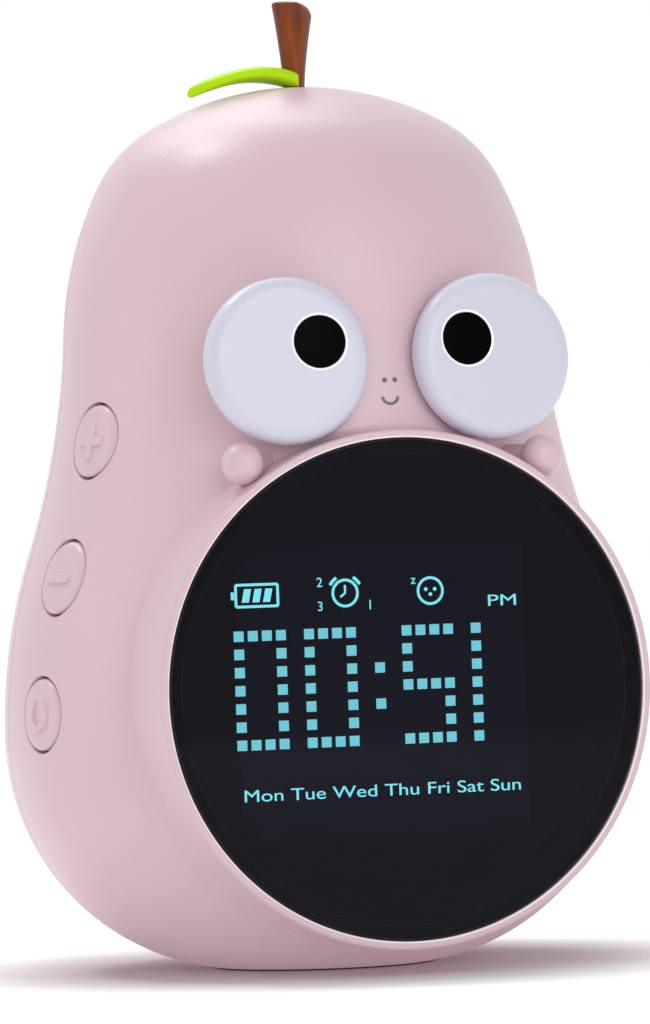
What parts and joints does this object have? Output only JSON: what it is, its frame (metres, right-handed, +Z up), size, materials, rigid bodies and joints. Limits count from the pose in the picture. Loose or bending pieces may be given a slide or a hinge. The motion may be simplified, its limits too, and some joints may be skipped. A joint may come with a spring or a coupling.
{
  "type": "kids alarm clock with night light",
  "caption": "Pear-shaped alarm clock with a round display, glowing disc eyes, small hands, a stem with a leaf, and sprung side buttons.",
  "frame": {"origin": "on the body's axis, in the flat plane of the ring that it stands on", "axes": "+Z up along the body's axis; the display and the eyes face -Y; +X is to the right of someone looking at the face, and the buttons are on the -X side"},
  "size_m": [0.1006, 0.0949, 0.1554],
  "materials": {
    "shell": "satin moulded ABS, pale pink, with a fine even grain",
    "rubber": "matte dark grey rubber",
    "lens": "smoked clear acrylic, polished",
    "black_plastic": "matte black",
    "panel": "dark display face with lit cyan segments",
    "circuit_board": "green solder mask",
    "diffuser": "milky translucent diffuser, satin",
    "pupil": "black, smooth",
    "stem": "brown moulded plastic, satin",
    "leaf": "bright yellow-green moulded plastic, satin",
    "screws": "zinc-plated steel",
    "switch_metal": "stamped steel",
    "board_plastic": "off-white moulded plastic",
    "cone": "matte black cone",
    "battery": "shrink sleeve, satin",
    "lead_white": "soft insulation, satin",
    "lead_red": "soft insulation, satin"
  },
  "bodies": {
    "clock": {"front_shell": "shell", "rear_shell": "shell", "base_cover": "shell", "foot_ring": "rubber", "display_lens": "lens", "lens_tape": "black_plastic", "display_frame": "black_plastic", "display_panel": "panel", "display_board": "circuit_board", "display_screws": "screws", "eye_left": "diffuser", "eye_right": "diffuser", "pupil_left": "pupil", "pupil_right": "pupil", "eye_light_left": "circuit_board", "eye_light_right": "circuit_board", "hand_left": "shell", "hand_right": "shell", "stem": "stem", "leaf": "leaf", "stem_screw": "screws", "switch_board": "circuit_board", "tact_switches": "switch_metal", "switch_screws": "screws", "main_board": "circuit_board", "board_parts": "board_plastic", "board_screws": "screws", "speaker": "switch_metal", "speaker_cone": "cone", "speaker_clamp": "screws", "speaker_screws": "screws", "battery": "battery", "battery_holder": "board_plastic", "battery_screws": "screws", "power_board": "circuit_board", "usb_socket": "screws", "power_screws": "screws", "shell_screws": "screws", "base_screws": "screws", "eye_lead_left": "lead_white", "eye_lead_right": "lead_white", "speaker_lead": "lead_red", "battery_lead": "black_plastic", "switch_lead": "lead_white", "power_lead": "lead_red"},
    "plus_button": {"button_plus": "shell", "plunger_plus": "black_plastic"},
    "minus_button": {"button_minus": "shell", "plunger_minus": "black_plastic"},
    "mode_button": {"button_mode": "shell", "plunger_mode": "black_plastic"}
  },
  "joints": [
    {"name": "press_plus", "type": "slide", "parent": "clock", "child": "plus_button", "axis": [1, 0, 0], "range_m": [0, 0.0005], "stiffness_N_per_m": 400},
    {"name": "press_minus", "type": "slide", "parent": "clock", "child": "minus_button", "axis": [1, 0, 0], "range_m": [0, 0.0005], "stiffness_N_per_m": 400},
    {"name": "press_mode", "type": "slide", "parent": "clock", "child": "mode_button", "axis": [1, 0, 0], "range_m": [0, 0.0005], "stiffness_N_per_m": 400}
  ]
}
